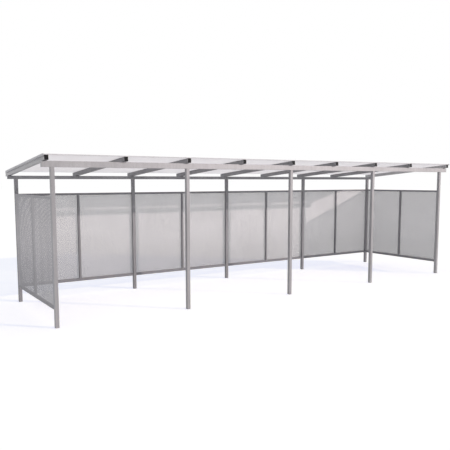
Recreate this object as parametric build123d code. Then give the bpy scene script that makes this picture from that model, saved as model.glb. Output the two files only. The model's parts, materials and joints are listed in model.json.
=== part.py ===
from build123d import *
import math
import os

# Open-front shelter for a row of bicycles, with a single roof slope down to the back.
# Sizes are in mm. X runs along the row, Y from the open front to the back, Z up.
BAYS = 4
BAY = 2250
DEPTH = 2200
OVERHANG_LEFT = 153
OVERHANG_RIGHT = 218

# Square tube posts, closed by a plate at the foot
POST = 60
TUBE_WALL = 3
TUBE_R = 4
FOOT_T = 5

# Long beams on the posts, closed by plates at both ends
BEAM_W = 60
FRONT_BEAM_Z = 2382
FRONT_BEAM_H = 90
BACK_BEAM_Z = 2218
BACK_BEAM_H = 60
BACK_BEAM_LEFT = 141
END_T = 3

# Rafters across the beams, with a moulded cap plugged into each end
RAFTER_W = 60
RAFTER_H = 72
RAFTER_FRONT = 90
RAFTER_REAR = 194
END_RAFTER_LEFT = 98
END_RAFTER_RIGHT = 176
CAP_T = 4
CAP_CORNER = 2.5
CAP_EDGE = 1.5
PLUG_GAP = 0.5
PLUG_WALL = 2.5
PLUG_DEPTH = 14

# Roof sheets, the edging round them and the cover strips that hold them down on the rafters.
# The rafters reach past the sheets at the back, and the edging of the two ends is taller.
SHEET_T = 10
SHEET_REACH = 22
SHEET_SETBACK = 109
SHEET_GAP = 4
EDGING_T = 2
EDGING_FLANGE = 20
EDGING_LIP = 10
EDGING_GAP = 1
END_DROP = 12
END_UPSTAND = 6
STRIP_W = 60
STRIP_T = 3
STRIP_EDGE = 1.2
STRIP_GAP = 1

# Wall panels: welded tube frames with two perforated sheets on the outside
PANEL_Z = 271
PANEL_TOP = 1957
FRAME_T = 38
FRAME_WALL = 2
FRAME_CORNER = 2
BOTTOM_RAIL_H = 50
INFILL_T = 2
INFILL_GAP = 3
MARGIN = 15
OPENINGS_ACROSS = 5
OPENINGS_UP = 8
OPENING_SHARE = 0.6

FRONT_TOP = FRONT_BEAM_Z + FRONT_BEAM_H
BACK_TOP = BACK_BEAM_Z + BACK_BEAM_H
SLOPE = math.atan((FRONT_TOP - BACK_TOP) / DEPTH)

# The origin is on the floor, midway along the roof and midway between its front and rear edges.
LENGTH = OVERHANG_LEFT + BAYS * BAY + OVERHANG_RIGHT
X0 = OVERHANG_LEFT - LENGTH / 2
FRONT_REACH = RAFTER_FRONT + SHEET_REACH * math.cos(SLOPE) - (RAFTER_H - END_DROP) * math.sin(SLOPE)
REAR_REACH = RAFTER_REAR + (RAFTER_H - CAP_EDGE) * math.sin(SLOPE)
Y0 = (FRONT_REACH - DEPTH - REAR_REACH) / 2
YB = Y0 + DEPTH

os.makedirs("parts", exist_ok=True)


def save(shape, node):
    """Write one node as its own STEP file."""
    shape.label = node
    export_step(shape, f"parts/{node}.step")


def bore(width, height, wall):
    """Section of the hollow inside a rectangular tube."""
    return Rectangle(width - 2 * wall, height - 2 * wall)


def tube_profile(width, height):
    """Section of a rectangular tube with rounded outer corners."""
    return RectangleRounded(width, height, TUBE_R) - bore(width, height, TUBE_WALL)


def post(x, y, top):
    """Square post, open at the top under its beam and closed at the foot."""
    body = extrude(tube_profile(POST, POST), top)
    foot = extrude(bore(POST, POST, TUBE_WALL), FOOT_T)
    return Pos(x, y, 0) * (body + foot)


def beam(left, y, z, height):
    """Rectangular tube from left of the first post to the roof's right end, with a plate in each end."""
    right = LENGTH / 2
    start = Plane.YZ * Pos(y, z + height / 2, 0)
    body = extrude(start * tube_profile(BEAM_W, height), right - left)
    plate = extrude(start * bore(BEAM_W, height, TUBE_WALL), END_T)
    body += plate
    body += Pos(right - left - END_T, 0, 0) * plate
    return Pos(left, 0, 0) * body


for i in range(BAYS + 1):
    x = X0 + i * BAY
    save(post(x, Y0, FRONT_BEAM_Z), f"front_post_{i + 1}")
    save(post(x, YB, BACK_BEAM_Z), f"back_post_{i + 1}")
save(beam(-LENGTH / 2, Y0, FRONT_BEAM_Z, FRONT_BEAM_H), "front_beam")
save(beam(X0 - BACK_BEAM_LEFT, YB, BACK_BEAM_Z, BACK_BEAM_H), "back_beam")


# The roof is built flat and then tilted: its origin is where a rafter's underside rests on the
# rear top edge of the front beam, and the same line meets the rear top edge of the back beam.
SEAT = Location((0, Y0 + BEAM_W / 2, FRONT_TOP), (-math.degrees(SLOPE), 0, 0))
FRONT_END = -(RAFTER_FRONT + BEAM_W / 2) / math.cos(SLOPE)
REAR_END = (DEPTH + RAFTER_REAR - BEAM_W / 2) / math.cos(SLOPE)


def cap():
    """Moulded end cap: a plate with eased edges over the tube's end and a hollow plug inside it."""
    outline = chamfer(Rectangle(RAFTER_W, RAFTER_H).vertices(), CAP_CORNER)
    plate = extrude(Plane.XZ * outline, -CAP_T)
    plate = chamfer(plate.faces().sort_by(Axis.Y)[0].edges(), CAP_EDGE)
    plug = bore(RAFTER_W, RAFTER_H, TUBE_WALL + PLUG_GAP) - bore(RAFTER_W, RAFTER_H, TUBE_WALL + PLUG_GAP + PLUG_WALL)
    return plate + Pos(0, CAP_T, 0) * extrude(Plane.XZ * plug, -PLUG_DEPTH)


def rafter_places():
    """X of each rafter: one outside each end post, one over each post line and each mid-bay."""
    inner = [X0 + k * BAY / 2 for k in range(1, 2 * BAYS)]
    return [X0 - END_RAFTER_LEFT] + inner + [X0 + BAYS * BAY + END_RAFTER_RIGHT]


bar_length = REAR_END - FRONT_END - 2 * CAP_T
bar = extrude(Plane.XZ * tube_profile(RAFTER_W, RAFTER_H), -bar_length)
front_cap = Pos(0, FRONT_END, RAFTER_H / 2) * cap()
rear_cap = Pos(0, REAR_END, RAFTER_H / 2) * Rot(0, 0, 180) * cap()
caps = []
for i, x in enumerate(rafter_places()):
    along = Pos(x, 0, 0) * SEAT
    save(along * Pos(0, FRONT_END + CAP_T, RAFTER_H / 2) * bar, f"rafter_{i + 1}")
    caps.append(along * front_cap)
    caps.append(along * rear_cap)
save(Compound(caps), "rafter_caps")


# One roof sheet over each bay, meeting on the rafters over the posts
ROOF_FRONT = FRONT_END - SHEET_REACH
ROOF_REAR = REAR_END - SHEET_SETBACK
ROOF_MIDDLE = (ROOF_FRONT + ROOF_REAR) / 2
ROOF_WIDTH = ROOF_REAR - ROOF_FRONT
seams = [-LENGTH / 2 + EDGING_T] + [X0 + k * BAY for k in range(1, BAYS)] + [LENGTH / 2 - EDGING_T]
for i in range(BAYS):
    left = seams[i] + (SHEET_GAP / 2 if i else 0)
    right = seams[i + 1] - (SHEET_GAP / 2 if i < BAYS - 1 else 0)
    sheet = Box(right - left, ROOF_WIDTH - 2 * EDGING_T, SHEET_T)
    place = Pos((left + right) / 2, ROOF_MIDDLE, RAFTER_H + SHEET_T / 2)
    save(SEAT * place * sheet, f"roof_sheet_{i + 1}")


def edging(length, drop, upstand, lip):
    """Edging along X with its web's outer face at Y = 0: a flange over the sheets and any lip under them."""
    web = Pos(EDGING_T / 2, (SHEET_T + EDGING_T + upstand - drop) / 2)
    section = web * Rectangle(EDGING_T, SHEET_T + EDGING_T + upstand + drop)
    section += Pos(EDGING_FLANGE / 2, SHEET_T + EDGING_T / 2) * Rectangle(EDGING_FLANGE, EDGING_T)
    if lip:
        section += Pos(lip / 2, -EDGING_T / 2) * Rectangle(lip, EDGING_T)
    return extrude(Plane.YZ * Pos(0, 0, -length / 2) * section, length)


# The rear edging lies across the rafters, so it has no lip.
between_ends = LENGTH - 2 * EDGING_FLANGE - 2 * EDGING_GAP
end_edging = edging(ROOF_WIDTH, END_DROP, END_UPSTAND, EDGING_LIP)
trim = [
    Pos(0, ROOF_FRONT, RAFTER_H) * edging(between_ends, EDGING_T, 0, EDGING_LIP),
    Pos(0, ROOF_REAR, RAFTER_H) * Rot(0, 0, 180) * edging(between_ends, 0, 0, 0),
    Pos(-LENGTH / 2, ROOF_MIDDLE, RAFTER_H) * Rot(0, 0, -90) * end_edging,
    Pos(LENGTH / 2, ROOF_MIDDLE, RAFTER_H) * Rot(0, 0, 90) * end_edging,
]
strip = Box(STRIP_W, ROOF_WIDTH - 2 * EDGING_FLANGE - 2 * STRIP_GAP, STRIP_T)
strip = chamfer(strip.edges().filter_by(Axis.Y).group_by(Axis.Z)[-1], STRIP_EDGE)
for x in rafter_places()[1:-1]:
    trim.append(Pos(x, ROOF_MIDDLE, RAFTER_H + SHEET_T + STRIP_T / 2) * strip)
save(Compound([SEAT * piece for piece in trim]), "roof_trim")


def wall_frame(width):
    """Two rails and a middle mullion of tube, welded into one frame, with its outer face at Y = 0."""
    middle = -FRAME_T / 2
    top_z = PANEL_TOP - FRAME_T / 2
    bottom_z = PANEL_Z + BOTTOM_RAIL_H / 2
    tubes = [
        (Plane.YZ * Pos(middle, top_z, -width / 2), FRAME_T, width),
        (Plane.YZ * Pos(middle, bottom_z, -width / 2), BOTTOM_RAIL_H, width),
        (Pos(0, middle, bottom_z), FRAME_T, top_z - bottom_z),
    ]
    outer = []
    inner = []
    for place, height, length in tubes:
        outline = chamfer(Rectangle(FRAME_T, height).vertices(), FRAME_CORNER)
        outer.append(extrude(place * outline, length))
        inner.append(extrude(place * bore(FRAME_T, height, FRAME_WALL), length))
    return outer[0] + outer[1:] - inner


def infill(width):
    """Sheet on one side of a mullion, which stands at X = 0: square openings between plain margins."""
    height = PANEL_TOP - PANEL_Z - 2 * INFILL_GAP
    sheet = Pos((INFILL_GAP + width) / 2, (PANEL_TOP + PANEL_Z) / 2) * Rectangle(width, height)
    left = FRAME_T / 2 + MARGIN
    right = INFILL_GAP / 2 + width - MARGIN
    bottom = PANEL_Z + BOTTOM_RAIL_H + MARGIN
    top = PANEL_TOP - FRAME_T - MARGIN
    pitch_x = (right - left) / OPENINGS_ACROSS
    pitch_z = (top - bottom) / OPENINGS_UP
    opening = Rectangle(pitch_x * OPENING_SHARE, pitch_z * OPENING_SHARE)
    grid = GridLocations(pitch_x, pitch_z, OPENINGS_ACROSS, OPENINGS_UP)
    centre = Pos((left + right) / 2, (bottom + top) / 2)
    sheet -= [centre * spot * opening for spot in grid]
    return extrude(Plane.XZ * sheet, INFILL_T)


def wall(width, place, name):
    """One frame and its two sheets. Locally X runs along the wall and Y = 0 is the posts' outer face."""
    save(place * Pos(0, -INFILL_T, 0) * wall_frame(width), f"{name}_frame")
    sheet = infill((width - 3 * INFILL_GAP) / 2)
    save(place * mirror(sheet, about=Plane.YZ), f"{name}_infill_a")
    save(place * sheet, f"{name}_infill_b")


for i in range(BAYS):
    wall(BAY - POST, Pos(X0 + (i + 0.5) * BAY, YB + POST / 2, 0), f"back_wall_{i + 1}")
left_side = Pos(X0 - POST / 2, Y0 + DEPTH / 2, 0) * Rot(0, 0, 90)
right_side = Pos(X0 + BAYS * BAY + POST / 2, Y0 + DEPTH / 2, 0) * Rot(0, 0, -90)
wall(DEPTH - POST, left_side, "left_wall")
wall(DEPTH - POST, right_side, "right_wall")
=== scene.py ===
import json
import math

import bpy
from mathutils import Matrix, Vector


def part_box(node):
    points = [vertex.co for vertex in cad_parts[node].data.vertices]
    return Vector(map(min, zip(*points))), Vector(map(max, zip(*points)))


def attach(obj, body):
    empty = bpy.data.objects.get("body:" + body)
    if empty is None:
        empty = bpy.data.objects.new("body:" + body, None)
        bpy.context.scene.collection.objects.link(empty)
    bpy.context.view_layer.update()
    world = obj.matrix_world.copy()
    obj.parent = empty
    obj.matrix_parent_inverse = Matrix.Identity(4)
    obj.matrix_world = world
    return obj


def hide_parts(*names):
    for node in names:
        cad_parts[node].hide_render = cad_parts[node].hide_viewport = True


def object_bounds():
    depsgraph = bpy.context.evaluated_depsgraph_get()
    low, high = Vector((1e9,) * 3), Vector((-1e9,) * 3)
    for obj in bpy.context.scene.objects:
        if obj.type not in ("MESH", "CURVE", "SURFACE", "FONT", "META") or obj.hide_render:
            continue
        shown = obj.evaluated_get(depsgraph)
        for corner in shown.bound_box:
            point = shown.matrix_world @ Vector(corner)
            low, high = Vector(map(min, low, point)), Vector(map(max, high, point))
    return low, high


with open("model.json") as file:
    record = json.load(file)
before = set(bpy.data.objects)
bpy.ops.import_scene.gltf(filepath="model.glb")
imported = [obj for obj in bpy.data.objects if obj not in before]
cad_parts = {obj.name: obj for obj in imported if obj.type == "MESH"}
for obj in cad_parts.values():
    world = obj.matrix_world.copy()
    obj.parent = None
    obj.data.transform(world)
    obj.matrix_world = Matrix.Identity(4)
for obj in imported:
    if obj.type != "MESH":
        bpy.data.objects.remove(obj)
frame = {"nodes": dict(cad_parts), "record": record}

# Sizes in metres, in the frame's own axes: X along the row, Y from the open front to the back, Z up.
cad_low, cad_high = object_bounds()
nodes = frame["nodes"]

# Members that are numbered from the left end
BAYS = 4
POSTS = BAYS + 1
RAFTERS = 2 * BAYS + 1
WALLS = ("left_wall", "right_wall", *(f"back_wall_{i}" for i in range(1, BAYS + 1)))
SHEETS = ("a", "b")

# Perforated sheets: square holes in a square grid, with plain margins along the edges. They are thinner than
# the CAD's 2 mm, because the photo shows the left wall's mullion through them at a grazing angle of 14 degrees.
HOLE_PITCH = 0.015
HOLE = 0.008
RIB = HOLE_PITCH - HOLE
SHEET_STEEL = 0.001
MARGIN = 0.010
SEAM_MARGIN = 0.004

# Share of a sheet's thickness by which its crossing bars are set back, so that no two faces lie in one plane
BAR_SETBACK = 0.04

# Wall frames: heights of the rails and width of the mullion
TOP_RAIL = 0.038
BOTTOM_RAIL = 0.050
MULLION = 0.038

# Roof: thickness of each layer on the beams, and of the edging's flange
RAFTER_DEEP = 0.072
SHEET_THICK = 0.010
STRIP_THICK = 0.003
EDGING_THICK = 0.002

# Closers between the end edging and the outermost rafters: depth, and how far they stay inside the sheets' ends
CLOSER_DEEP = 0.012
CLOSER_FRONT = 0.030
CLOSER_REAR = 0.004

# Button-head screws on washers hold the wall sheets. A fastener is made of turned parts, and each part has an
# outline of (radius, height) points and its number of sides.
PANEL_SCREW = (
    (((0.0070, 0.0), (0.0070, 0.0008), (0.0066, 0.0011)), 16),
    (((0.0046, 0.0011), (0.0044, 0.0021), (0.0035, 0.0031),
      (0.0024, 0.0035), (0.0021, 0.0034), (0.0019, 0.0020)), 14),
)
HOLES_PER_SCREW = 10

# Hexagon screws with a flange on a sealing washer hold the cover strips
ROOFING_SCREW = (
    (((0.0080, 0.0), (0.0080, 0.0009), (0.0072, 0.0015)), 20),
    (((0.0056, 0.0015), (0.0052, 0.0021)), 16),
    (((0.0044, 0.0021), (0.0044, 0.0042), (0.0038, 0.0047)), 6),
)
SCREWS_PER_STRIP = 6
STRIP_SCREW_INSET = 0.090

# Blind rivets hold the edging: a domed head and the end of its pin. Along the row they keep clear of the strips.
RIVET = (
    (((0.0048, 0.0), (0.0048, 0.0005), (0.0042, 0.0012), (0.0028, 0.0019), (0.0016, 0.0021)), 14),
    (((0.0013, 0.0016), (0.0012, 0.0023)), 8),
)
RIVET_PITCH = 0.300
STRIP_CLEARANCE = 0.040
ROW_RIVET_START = 0.080
ROW_RIVET_EDGE = 0.010
END_RIVET_START = 0.060
END_RIVET_EDGE = 0.012

# Weld beads: radius, length and depth of a ripple, length of a tip, and shares of the radius at and beside the tip
BEAD = 0.0030
THIN_BEAD = 0.0016
BEAD_SIDES = 8
RIPPLE = 0.0026
RIPPLE_DEPTH = 0.14
TIP = 0.0004
TIP_SHARE = 0.3
SHOULDER_SHARE = 0.7

# Beads stop short of the tubes' rounded corners; those at the rafters lie on the beam's rounded rear edge
RAIL_EASE = 0.003
POST_EASE = 0.004
RAFTER_EASE = 0.003
BEAM_EDGE_OUT = 0.0005
BEAM_EDGE_DOWN = 0.0015

# Share of the light on the opal roofing that passes through it
OPAL_SHARE = 0.68

# Zinc crystals: shares of the tone and changes of roughness from one crystal to the next
CRYSTAL_TONES = (0.94, 1.05)
CRYSTAL_ROUGHNESS = (-0.06, 0.08)

# Rain marks on the steel: fine across and long down the steel
STREAK_STRETCH = (1.0, 1.0, 0.06)
STREAK_SCALE = 26.0

# Painted shade at the sheets' foot, for the shaded ground seen reflected in them: share of their tone left at the
# foot, and the heights between which it fades
FOOT_SHADE = 0.74
FOOT_SHADE_LOW = 0.35
FOOT_SHADE_HIGH = 1.25

# Floor: real colour for the light it throws back, and glow and shaded colour for the rays that see it
FLOOR_HALF = 150
FLOOR_DEEP = 0.02
FLOOR_REAL = (0.8, 0.8, 0.81, 1)
FLOOR_GLOW = (0.38, 0.42, 0.74, 1)
FLOOR_SHADED = (0.95, 0.9, 0.42, 1)

# Sky: soft light on the shelter, and a plain white background
SKY_COLOUR = (0.94, 0.95, 1.0, 1)
SKY_STRENGTH = 0.58
BACKGROUND = (1, 1, 1, 1)

# Sunlight comes over the viewer's right shoulder, low above the horizon
SUN_STRENGTH = 1.75
SUN_ANGLE = math.radians(1.0)
SUN_COLOUR = (1.0, 0.87, 0.84)
SUN_AZIMUTH = math.radians(44.5)
SUN_ELEVATION = math.radians(15.2)

# Camera, measured from the middle of the first front post's foot
CAMERA_OFFSET = Vector((-2.3936, -8.1759, 2.1757))
CAMERA_YAW = math.radians(33.446)
CAMERA_PITCH = math.radians(-6.044)
CAMERA_ROLL = math.radians(-0.048)
CAMERA_LENS = 44.586
CAMERA_SHIFT_Y = 0.0339


def box_mesh(corners):
    """Vertices and faces of one box between two opposite corners."""
    (x0, y0, z0), (x1, y1, z1) = corners
    verts = [(x, y, z) for z in (z0, z1) for y in (y0, y1) for x in (x0, x1)]
    faces = [(0, 2, 3, 1), (4, 5, 7, 6), (0, 1, 5, 4), (2, 6, 7, 3), (0, 4, 6, 2), (1, 3, 7, 5)]
    return verts, faces


def lathe(profile, sides):
    """A closed turned shape about Z through (radius, height) points."""
    verts = []
    faces = []
    for radius, height in profile:
        for i in range(sides):
            turn = 2 * math.pi * i / sides
            verts.append((radius * math.cos(turn), radius * math.sin(turn), height))
    for ring in range(len(profile) - 1):
        for i in range(sides):
            a = ring * sides + i
            b = ring * sides + (i + 1) % sides
            faces.append((a, b, b + sides, a + sides))
    faces.append(tuple(range(len(verts) - sides, len(verts))))
    faces.append(tuple(reversed(range(sides))))
    return verts, faces


def placed(part, matrix):
    """The same part moved and turned by a matrix."""
    verts, faces = part
    return [tuple(matrix @ Vector(v)) for v in verts], faces


def facing(point, direction):
    """Matrix that puts a turned shape on a surface with its axis along the surface's normal."""
    return Matrix.Translation(point) @ Vector(direction).to_track_quat("Z", "Y").to_matrix().to_4x4()


def fastener(turned_parts, matrix):
    """The parts of one screw or rivet in their place."""
    return [placed(lathe(profile, sides), matrix) for profile, sides in turned_parts]


def bead(start, stop, radius):
    """A rippled weld bead along a line; half of it lies in the corner it fills."""
    start, stop = Vector(start), Vector(stop)
    length = (stop - start).length
    steps = max(4, round(length / RIPPLE)) * 2
    profile = [(radius * TIP_SHARE, 0.0)]
    for i in range(steps + 1):
        swell = 1 if i % 2 else 1 - RIPPLE_DEPTH
        end = SHOULDER_SHARE if i in (0, steps) else 1
        profile.append((radius * swell * end, TIP + (length - 2 * TIP) * i / steps))
    profile.append((radius * TIP_SHARE, length))
    return placed(lathe(profile, BEAD_SIDES), facing(start, stop - start))


def spread(start, stop, pitch):
    """Evenly spaced places from start to stop, about one pitch apart."""
    count = max(1, round((stop - start) / pitch))
    return [start + (stop - start) * i / count for i in range(count + 1)]


def every(count, step):
    """Indices from the first to the last of count holes, about one step apart."""
    last = count - 1
    gaps = max(1, round(last / step))
    return [round(last * i / gaps) for i in range(gaps + 1)]


def mesh_object(name, parts, material):
    """One object joined from many (vertices, faces) parts."""
    verts = []
    faces = []
    for part_verts, part_faces in parts:
        base = len(verts)
        verts.extend(part_verts)
        faces.extend(tuple(base + i for i in face) for face in part_faces)
    mesh = bpy.data.meshes.new(name)
    mesh.from_pydata(verts, [], faces)
    mesh.materials.append(material)
    made = bpy.data.objects.new(name, mesh)
    bpy.context.scene.collection.objects.link(made)
    return made


def dress(name, parts, material):
    """One new piece that rides on the shelter, joined from many (vertices, faces) parts."""
    made = mesh_object(name, parts, material)
    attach(made, "root")
    return made


def wall_axes(wall):
    """Box of a wall's frame, its axis along the wall, the one across it and the side its sheets are on."""
    low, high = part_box(f"{wall}_frame")
    along = 0 if high.x - low.x > high.y - low.y else 1
    across = 1 - along
    sheet_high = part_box(f"{wall}_infill_a")[1]
    outward = 1 if sheet_high[across] > high[across] else -1
    return low, high, along, across, outward


def sheet_grid(wall, end):
    """Box of one sheet, where its grid of holes starts and stops along the wall and in height, and its counts."""
    frame_low, frame_high, along, across, outward = wall_axes(wall)
    low, high = (Vector(corner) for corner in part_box(f"{wall}_infill_{end}"))
    past_middle = low[along] > (frame_low[along] + frame_high[along]) / 2
    before, after = (SEAM_MARGIN, MARGIN) if past_middle else (MARGIN, SEAM_MARGIN)
    start = [low[along] + before, low.z + MARGIN]
    stop = [high[along] - after, high.z - MARGIN]
    counts = [int((b - a + RIB) / HOLE_PITCH) for a, b in zip(start, stop)]
    for i in (0, 1):
        slack = (stop[i] - start[i] - counts[i] * HOLE_PITCH + RIB) / 2
        start[i] += slack
        stop[i] -= slack
    if outward > 0:
        high[across] = low[across] + SHEET_STEEL
    else:
        low[across] = high[across] - SHEET_STEEL
    return low, high, start, stop, counts


def perforated_sheet(wall, end, material):
    """Punched sheet in place of a wall's plain infill: bars between the holes and plain margins."""
    _, _, along, across, _ = wall_axes(wall)
    low, high, start, stop, counts = sheet_grid(wall, end)
    step = SHEET_STEEL * BAR_SETBACK

    def bar(a0, a1, z0, z1, inset):
        """A flat bar of the sheet; the inset keeps crossing bars' faces apart."""
        p = [0, 0, z0]
        q = [0, 0, z1]
        p[along], q[along] = a0, a1
        p[across], q[across] = low[across] + inset, high[across] - inset
        return box_mesh((p, q))

    parts = [
        bar(low[along], start[0], low.z, high.z, 0),
        bar(stop[0], high[along], low.z, high.z, 0),
        bar(start[0], stop[0], low.z, start[1], 0),
        bar(start[0], stop[0], stop[1], high.z, 0),
    ]
    for i in range(1, counts[0]):
        a = start[0] + i * HOLE_PITCH - RIB
        parts.append(bar(a, a + RIB, start[1], stop[1], step))
    for i in range(1, counts[1]):
        z = start[1] + i * HOLE_PITCH - RIB
        parts.append(bar(start[0], stop[0], z, z + RIB, 2 * step))
    made = dress(f"{wall}_perforated_{end}", parts, material)
    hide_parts(f"{wall}_infill_{end}")


def wall_screws(wall, material):
    """Screws through holes of a wall's two sheets: along both rails and beside the mullion's seam."""
    frame_low, frame_high, along, across, outward = wall_axes(wall)
    middle = (frame_low[along] + frame_high[along]) / 2
    normal = [0, 0, 0]
    normal[across] = outward
    parts = []
    for end in SHEETS:
        low, high, start, _, counts = sheet_grid(wall, end)
        columns = [start[0] + HOLE / 2 + i * HOLE_PITCH for i in range(counts[0])]
        rows = [start[1] + HOLE / 2 + i * HOLE_PITCH for i in range(counts[1])]
        bottom = min(rows, key=lambda z: abs(z - frame_low.z - BOTTOM_RAIL / 2))
        top = min(rows, key=lambda z: abs(z - frame_high.z + TOP_RAIL / 2))
        seam = min(columns, key=lambda s: abs(s - middle))
        spots = {(columns[i], z) for i in every(counts[0], HOLES_PER_SCREW) for z in (bottom, top)}
        spots |= {(seam, rows[i]) for i in every(counts[1], HOLES_PER_SCREW) if bottom <= rows[i] <= top}
        for s, z in sorted(spots):
            point = [0, 0, z]
            point[along] = s
            point[across] = high[across] if outward > 0 else low[across]
            parts += fastener(PANEL_SCREW, facing(point, normal))
    dress(f"{wall}_screws", parts, material)


def wall_welds(wall, material):
    """Beads where the rails meet the posts and the mullion meets the rails."""
    low, high, along, across, outward = wall_axes(wall)
    inner, outer = (low[across], high[across]) if outward > 0 else (high[across], low[across])

    def line(a, b):
        """A bead between two (along, across, height) points of this wall."""
        ends = []
        for s, t, z in (a, b):
            point = [0, 0, z]
            point[along], point[across] = s, t
            ends.append(point)
        return bead(*ends, BEAD)

    ease = RAIL_EASE * outward
    parts = []
    for end in (low[along], high[along]):
        for z0, z1 in ((low.z, low.z + BOTTOM_RAIL), (high.z - TOP_RAIL, high.z)):
            parts.append(line((end, inner, z0 + RAIL_EASE), (end, inner, z1 - RAIL_EASE)))
            for z in (z0, z1):
                parts.append(line((end, inner + ease, z), (end, outer - ease, z)))
    middle = (low[along] + high[along]) / 2
    left, right = middle - MULLION / 2, middle + MULLION / 2
    for z in (low.z + BOTTOM_RAIL, high.z - TOP_RAIL):
        for side in (left, right):
            parts.append(line((side, inner + ease, z), (side, outer - ease, z)))
        parts.append(line((left + RAIL_EASE, inner, z), (right - RAIL_EASE, inner, z)))
    dress(f"{wall}_welds", parts, material)


def row_welds(row, material):
    """Beads between one row's posts and their beam, and between that beam and the rafters on it."""
    parts = []
    for i in range(1, POSTS + 1):
        low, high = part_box(f"{row}_post_{i}")
        for x in (low.x, high.x):
            parts.append(bead((x, low.y + POST_EASE, high.z), (x, high.y - POST_EASE, high.z), BEAD))
        for y in (low.y, high.y):
            parts.append(bead((low.x + POST_EASE, y, high.z), (high.x - POST_EASE, y, high.z), THIN_BEAD))
    beam_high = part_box(f"{row}_beam")[1]
    y, z = beam_high.y + BEAM_EDGE_OUT, beam_high.z - BEAM_EDGE_DOWN
    for i in range(1, RAFTERS + 1):
        low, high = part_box(f"rafter_{i}")
        parts.append(bead((low.x + RAFTER_EASE, y, z), (high.x - RAFTER_EASE, y, z), BEAD))
    dress(f"{row}_welds", parts, material)


def roof_axes():
    """Matrix of the sloping roof, its sheets' front and rear ends down the slope, and its cover strips' places."""
    front_high, back_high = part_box("front_beam")[1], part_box("back_beam")[1]
    slope = math.atan2(front_high.z - back_high.z, back_high.y - front_high.y)
    seat = Matrix.Translation((0, front_high.y, front_high.z)) @ Matrix.Rotation(-slope, 4, "X")
    sheet = nodes["roof_sheet_1"]
    down = [(seat.inverted() @ sheet.matrix_world @ v.co).y for v in sheet.data.vertices]
    strips = [sum(corner.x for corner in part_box(f"rafter_{i}")) / 2 for i in range(2, RAFTERS)]
    return seat, min(down), max(down), strips


def strip_screws(material):
    """Roofing screws down the cover strips."""
    seat, front, rear, strips = roof_axes()
    top = RAFTER_DEEP + SHEET_THICK + STRIP_THICK
    first, last = front + STRIP_SCREW_INSET, rear - STRIP_SCREW_INSET
    parts = []
    for x in strips:
        for i in range(SCREWS_PER_STRIP):
            y = first + (last - first) * i / (SCREWS_PER_STRIP - 1)
            parts += fastener(ROOFING_SCREW, seat @ Matrix.Translation((x, y, top)))
    dress("roof_screws", parts, material)


def edging_rivets(material):
    """Rivets along the edging's flanges, in front, at the rear and at both ends."""
    seat, front, rear, strips = roof_axes()
    left, right = cad_low.x, cad_high.x
    top = RAFTER_DEEP + SHEET_THICK + EDGING_THICK
    spots = [(x, y) for x in spread(left + ROW_RIVET_START, right - ROW_RIVET_START, RIVET_PITCH)
             if min(abs(x - strip) for strip in strips) > STRIP_CLEARANCE
             for y in (front + ROW_RIVET_EDGE, rear - ROW_RIVET_EDGE)]
    spots += [(x, y) for y in spread(front + END_RIVET_START, rear - END_RIVET_START, RIVET_PITCH)
              for x in (left + END_RIVET_EDGE, right - END_RIVET_EDGE)]
    parts = []
    for x, y in spots:
        parts += fastener(RIVET, seat @ Matrix.Translation((x, y, top)))
    dress("roof_edging_rivets", parts, material)


def end_closers(material):
    """Narrow strips that close the gap between the end edging and the outermost rafters."""
    seat, front, rear, _ = roof_axes()
    gaps = ((cad_low.x + EDGING_THICK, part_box("rafter_1")[0].x),
            (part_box(f"rafter_{RAFTERS}")[1].x, cad_high.x - EDGING_THICK))
    parts = []
    for x0, x1 in gaps:
        corners = ((x0, front + CLOSER_FRONT, RAFTER_DEEP - CLOSER_DEEP),
                   (x1, rear - CLOSER_REAR, RAFTER_DEEP - EDGING_THICK))
        parts.append(placed(box_mesh(corners), seat))
    dress("roof_end_closers", parts, material)


def shader(name):
    """New node material: the material, its node tree, its Principled shader and the object's own coordinates."""
    material = bpy.data.materials.new(name)
    material.use_nodes = True
    tree = material.node_tree
    principled = next(n for n in tree.nodes if n.type == "BSDF_PRINCIPLED")
    return material, tree, principled, tree.nodes.new("ShaderNodeTexCoord").outputs["Object"]


def add(tree, kind, **values):
    """New node with its unlinked inputs set by name."""
    node = tree.nodes.new(kind)
    for key, value in values.items():
        node.inputs[key].default_value = value
    return node


def texture(tree, kind, place, **values):
    """New texture node at the given coordinates."""
    node = add(tree, kind, **values)
    tree.links.new(place, node.inputs["Vector"])
    return node


def ramp(tree, source, low, high, start=0.0, end=1.0):
    """Colour from a two-colour ramp that a texture's output drives."""
    node = tree.nodes.new("ShaderNodeValToRGB")
    node.color_ramp.elements[0].position = start
    node.color_ramp.elements[0].color = (*low, 1)
    node.color_ramp.elements[1].position = end
    node.color_ramp.elements[1].color = (*high, 1)
    tree.links.new(source, node.inputs["Fac"])
    return node.outputs["Color"]


def remap(tree, source, low, high, start=0.0, end=1.0, curve="LINEAR"):
    """Value that goes from low to high while the source goes from start to end."""
    node = tree.nodes.new("ShaderNodeMapRange")
    node.interpolation_type = curve
    for key, value in (("From Min", start), ("From Max", end), ("To Min", low), ("To Max", high)):
        node.inputs[key].default_value = value
    tree.links.new(source, node.inputs["Value"])
    return node.outputs["Result"]


def multiply(tree, first, second):
    """Output of one colour multiplied by another, or by a value."""
    node = tree.nodes.new("ShaderNodeMix")
    node.data_type = "RGBA"
    node.blend_type = "MULTIPLY"
    node.inputs["Factor"].default_value = 1.0
    tree.links.new(first, node.inputs["A"])
    tree.links.new(second, node.inputs["B"])
    return node.outputs["Result"]


def roughen(tree, surface, height, strength, distance):
    """Fine relief of a surface from a texture's output."""
    bump = add(tree, "ShaderNodeBump", Strength=strength, Distance=distance)
    tree.links.new(height, bump.inputs["Height"])
    tree.links.new(bump.outputs["Normal"], surface.inputs["Normal"])


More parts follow.
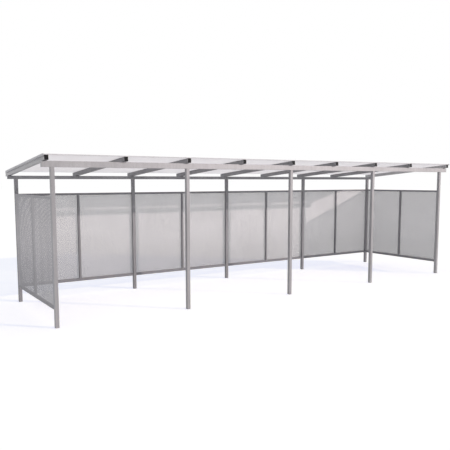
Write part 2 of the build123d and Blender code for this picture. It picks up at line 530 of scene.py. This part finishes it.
def galvanised(name, tone, roughness, metallic, specular, foot_shade=1.0):
    """Hot-dip galvanised steel: faint crystals, dull weathering, rain marks, scuffs and an uneven surface.

    Below 1, the last argument is how much of its tone the steel keeps at the foot: painted shade for the shaded
    ground seen reflected in it.
    """
    material, tree, surface, place = shader(name)
    crystals = texture(tree, "ShaderNodeTexVoronoi", place, Scale=70.0)
    weather = texture(tree, "ShaderNodeTexNoise", place, Scale=2.2, Detail=4.0)
    scuffs = texture(tree, "ShaderNodeTexNoise", place, Scale=9.0, Detail=6.0, Roughness=0.7)
    grain = texture(tree, "ShaderNodeTexNoise", place, Scale=320.0, Detail=2.0)
    stretch = tree.nodes.new("ShaderNodeVectorMath")
    stretch.operation = "MULTIPLY"
    stretch.inputs[1].default_value = STREAK_STRETCH
    tree.links.new(place, stretch.inputs[0])
    runs = texture(tree, "ShaderNodeTexNoise", stretch.outputs["Vector"], Scale=STREAK_SCALE, Detail=3.0)
    layers = [
        ramp(tree, weather.outputs["Fac"], (0.9, 0.9, 0.9), (1, 1, 1), start=0.35, end=0.65),
        ramp(tree, runs.outputs["Fac"], (0.93, 0.93, 0.925), (1.015, 1.015, 1.015), start=0.35, end=0.6),
        ramp(tree, scuffs.outputs["Fac"], (1, 1, 1), (1.12, 1.12, 1.12), start=0.66, end=0.7),
    ]
    # Painted shade: the tone fades down to the given share towards the foot
    if foot_shade < 1:
        height = tree.nodes.new("ShaderNodeSeparateXYZ")
        tree.links.new(place, height.inputs["Vector"])
        layers.append(remap(tree, height.outputs["Z"], foot_shade, 1.0, FOOT_SHADE_LOW, FOOT_SHADE_HIGH, "SMOOTHSTEP"))
    darker, lighter = ([c * share for c in tone] for share in CRYSTAL_TONES)
    colour = ramp(tree, crystals.outputs["Color"], darker, lighter)
    for layer in layers:
        colour = multiply(tree, colour, layer)
    tree.links.new(colour, surface.inputs["Base Color"])
    smoother, rougher = (roughness + change for change in CRYSTAL_ROUGHNESS)
    tree.links.new(remap(tree, crystals.outputs["Distance"], smoother, rougher), surface.inputs["Roughness"])
    roughen(tree, surface, grain.outputs["Fac"], strength=0.15, distance=0.0004)
    surface.inputs["Metallic"].default_value = metallic
    surface.inputs["Specular IOR Level"].default_value = specular
    return material


def moulded_black():
    """Moulded black plastic with a fine texture."""
    material, tree, surface, place = shader("black_plastic")
    grain = texture(tree, "ShaderNodeTexNoise", place, Scale=900.0, Detail=2.0)
    tint = ramp(tree, grain.outputs["Fac"], (0.004, 0.004, 0.005), (0.009, 0.009, 0.01))
    tree.links.new(tint, surface.inputs["Base Color"])
    roughen(tree, surface, grain.outputs["Fac"], strength=0.2, distance=0.0002)
    surface.inputs["Roughness"].default_value = 0.6
    surface.inputs["Specular IOR Level"].default_value = 0.2
    return material


def opal_sheet():
    """Opal multiwall roofing: fine ribs down the slope, a trace of dust, and light that passes through."""
    material, tree, surface, place = shader("opal_roofing")
    ribs = texture(tree, "ShaderNodeTexWave", place, Scale=14.3)
    ribs.bands_direction = "X"
    dust = texture(tree, "ShaderNodeTexNoise", place, Scale=3.0, Detail=5.0)
    line = ramp(tree, ribs.outputs["Fac"], (0.84, 0.84, 0.86), (0.9, 0.895, 0.905), start=0.0, end=0.5)
    haze = ramp(tree, dust.outputs["Fac"], (0.95, 0.95, 0.95), (1, 1, 1), start=0.35, end=0.6)
    tree.links.new(multiply(tree, line, haze), surface.inputs["Base Color"])
    roughen(tree, surface, ribs.outputs["Fac"], strength=0.1, distance=0.0005)
    surface.inputs["Roughness"].default_value = 0.7
    surface.inputs["Specular IOR Level"].default_value = 0.25
    through = add(tree, "ShaderNodeBsdfTranslucent", Color=(0.97, 0.96, 0.97, 1))
    blend = add(tree, "ShaderNodeMixShader", Fac=OPAL_SHARE)
    out = next(n for n in tree.nodes if n.type == "OUTPUT_MATERIAL")
    tree.links.new(surface.outputs["BSDF"], blend.inputs[1])
    tree.links.new(through.outputs["BSDF"], blend.inputs[2])
    tree.links.new(blend.outputs["Shader"], out.inputs["Surface"])
    return material


def by_sight(tree, kind, unseen, seen):
    """Output node that gives one shader to plain light and another to rays from the camera, a mirror or glass."""
    path = tree.nodes.new("ShaderNodeLightPath")
    sight = path.outputs["Is Camera Ray"]
    for ray in ("Is Glossy Ray", "Is Transmission Ray"):
        both = tree.nodes.new("ShaderNodeMath")
        both.operation = "MAXIMUM"
        tree.links.new(sight, both.inputs[0])
        tree.links.new(path.outputs[ray], both.inputs[1])
        sight = both.outputs["Value"]
    blend = tree.nodes.new("ShaderNodeMixShader")
    tree.links.new(sight, blend.inputs["Fac"])
    tree.links.new(unseen, blend.inputs[1])
    tree.links.new(seen, blend.inputs[2])
    tree.links.new(blend.outputs["Shader"], tree.nodes.new(kind).inputs["Surface"])


def lay_floor():
    """Pale floor in the ground plane, which shows the shelter's shadows."""
    material = bpy.data.materials.new("pale_floor")
    material.use_nodes = True
    tree = material.node_tree
    tree.nodes.clear()
    real = add(tree, "ShaderNodeBsdfDiffuse", Color=FLOOR_REAL)
    shaded = add(tree, "ShaderNodeBsdfDiffuse", Color=FLOOR_SHADED)
    glow = add(tree, "ShaderNodeEmission", Color=FLOOR_GLOW, Strength=1.0)
    shown = tree.nodes.new("ShaderNodeAddShader")
    tree.links.new(shaded.outputs["BSDF"], shown.inputs[0])
    tree.links.new(glow.outputs["Emission"], shown.inputs[1])
    by_sight(tree, "ShaderNodeOutputMaterial", real.outputs["BSDF"], shown.outputs["Shader"])
    corners = ((-FLOOR_HALF, -FLOOR_HALF, -FLOOR_DEEP), (FLOOR_HALF, FLOOR_HALF, 0))
    mesh_object("floor", [box_mesh(corners)], material)


def light_sky():
    """Soft light from all round, in front of a white background."""
    world = bpy.data.worlds.new("studio")
    bpy.context.scene.world = world
    world.use_nodes = True
    tree = world.node_tree
    tree.nodes.clear()
    soft = add(tree, "ShaderNodeBackground", Color=SKY_COLOUR, Strength=SKY_STRENGTH)
    white = add(tree, "ShaderNodeBackground", Color=BACKGROUND, Strength=1.0)
    by_sight(tree, "ShaderNodeOutputWorld", soft.outputs["Background"], white.outputs["Background"])


def light_sun():
    """Low sun in front of the shelter."""
    sun = bpy.data.objects.new("sun", bpy.data.lights.new("sun", "SUN"))
    sun.data.energy = SUN_STRENGTH
    sun.data.angle = SUN_ANGLE
    sun.data.color = SUN_COLOUR
    to_sun = Vector((math.sin(SUN_AZIMUTH) * math.cos(SUN_ELEVATION),
                     -math.cos(SUN_AZIMUTH) * math.cos(SUN_ELEVATION), math.sin(SUN_ELEVATION)))
    sun.rotation_euler = to_sun.to_track_quat("Z", "Y").to_euler()
    bpy.context.scene.collection.objects.link(sun)


def set_camera():
    """Camera of the photo."""
    post_low, post_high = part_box("front_post_1")
    foot = Vector(((post_low.x + post_high.x) / 2, (post_low.y + post_high.y) / 2, 0))
    camera = bpy.data.objects.new("camera", bpy.data.cameras.new("camera"))
    camera.data.lens = CAMERA_LENS
    camera.data.shift_y = CAMERA_SHIFT_Y
    turn = Matrix.Rotation(-CAMERA_YAW, 4, "Z") @ Matrix.Rotation(math.pi / 2 + CAMERA_PITCH, 4, "X")
    camera.matrix_world = Matrix.Translation(foot + CAMERA_OFFSET) @ turn @ Matrix.Rotation(CAMERA_ROLL, 4, "Z")
    bpy.context.scene.collection.objects.link(camera)
    bpy.context.scene.camera = camera


steel = galvanised("galvanised_steel", (0.4, 0.396, 0.406), roughness=0.42, metallic=0.25, specular=0.8)
post_steel = galvanised(
    "galvanised_steel_posts", (0.372, 0.368, 0.378), roughness=0.42, metallic=0.25, specular=0.6)
# Lighter copy of the steel: painted light on the end rafters' sides that are open to the sky
painted_light_steel = galvanised(
    "galvanised_steel_painted_light", (0.46, 0.458, 0.466), roughness=0.42, metallic=0.2, specular=0.6)
# Darker, duller copy of the steel: painted shade on the members under the roof
painted_shade_steel = galvanised("galvanised_steel_painted_shade", (0.32, 0.318, 0.33), roughness=0.55, metallic=0.1, specular=0.2)
frame_steel = galvanised("galvanised_frame", (0.28, 0.278, 0.29), roughness=0.55, metallic=0.1, specular=0.2)
# The sheets darken towards their foot: painted shade for the shaded ground seen reflected in them
sheet_steel = galvanised(
    "galvanised_sheet", (0.475, 0.467, 0.481), roughness=0.5, metallic=0.1, specular=0.6, foot_shade=FOOT_SHADE)
aluminium = galvanised("mill_aluminium", (0.68, 0.68, 0.69), roughness=0.65, metallic=0.1, specular=0.3)
finish = {"steel": steel, "frame_steel": frame_steel, "infill_steel": sheet_steel,
          "cap_plastic": moulded_black(), "roof_panel": opal_sheet(), "trim_aluminium": aluminium}


def coat(node, slot):
    """Finish of one CAD node. The front posts take a slightly darker, less glossy copy of the steel; the two end
    rafters a lighter copy, painted light on their sides open to the sky; the back posts, the back beam and the
    inner rafters under the roof a darker, duller copy, painted shade.
    """
    if node in ("rafter_1", f"rafter_{RAFTERS}"):
        return painted_light_steel
    if node.startswith("front_post"):
        return post_steel
    if node.startswith(("back_post", "back_beam", "rafter_")) and slot == "steel":
        return painted_shade_steel
    return finish[slot]


for part in frame["record"]["subparts"]:
    mesh = nodes[part["node"]].data
    mesh.materials.clear()
    mesh.materials.append(coat(part["node"], part["material_slot"]))

for wall in WALLS:
    for end in SHEETS:
        perforated_sheet(wall, end, sheet_steel)
    wall_screws(wall, steel)
    wall_welds(wall, steel)
strip_screws(steel)
edging_rivets(aluminium)
end_closers(aluminium)
for row in ("front", "back"):
    row_welds(row, steel)

lay_floor()
light_sky()
light_sun()
set_camera()
bpy.context.scene.view_settings.view_transform = "Standard"
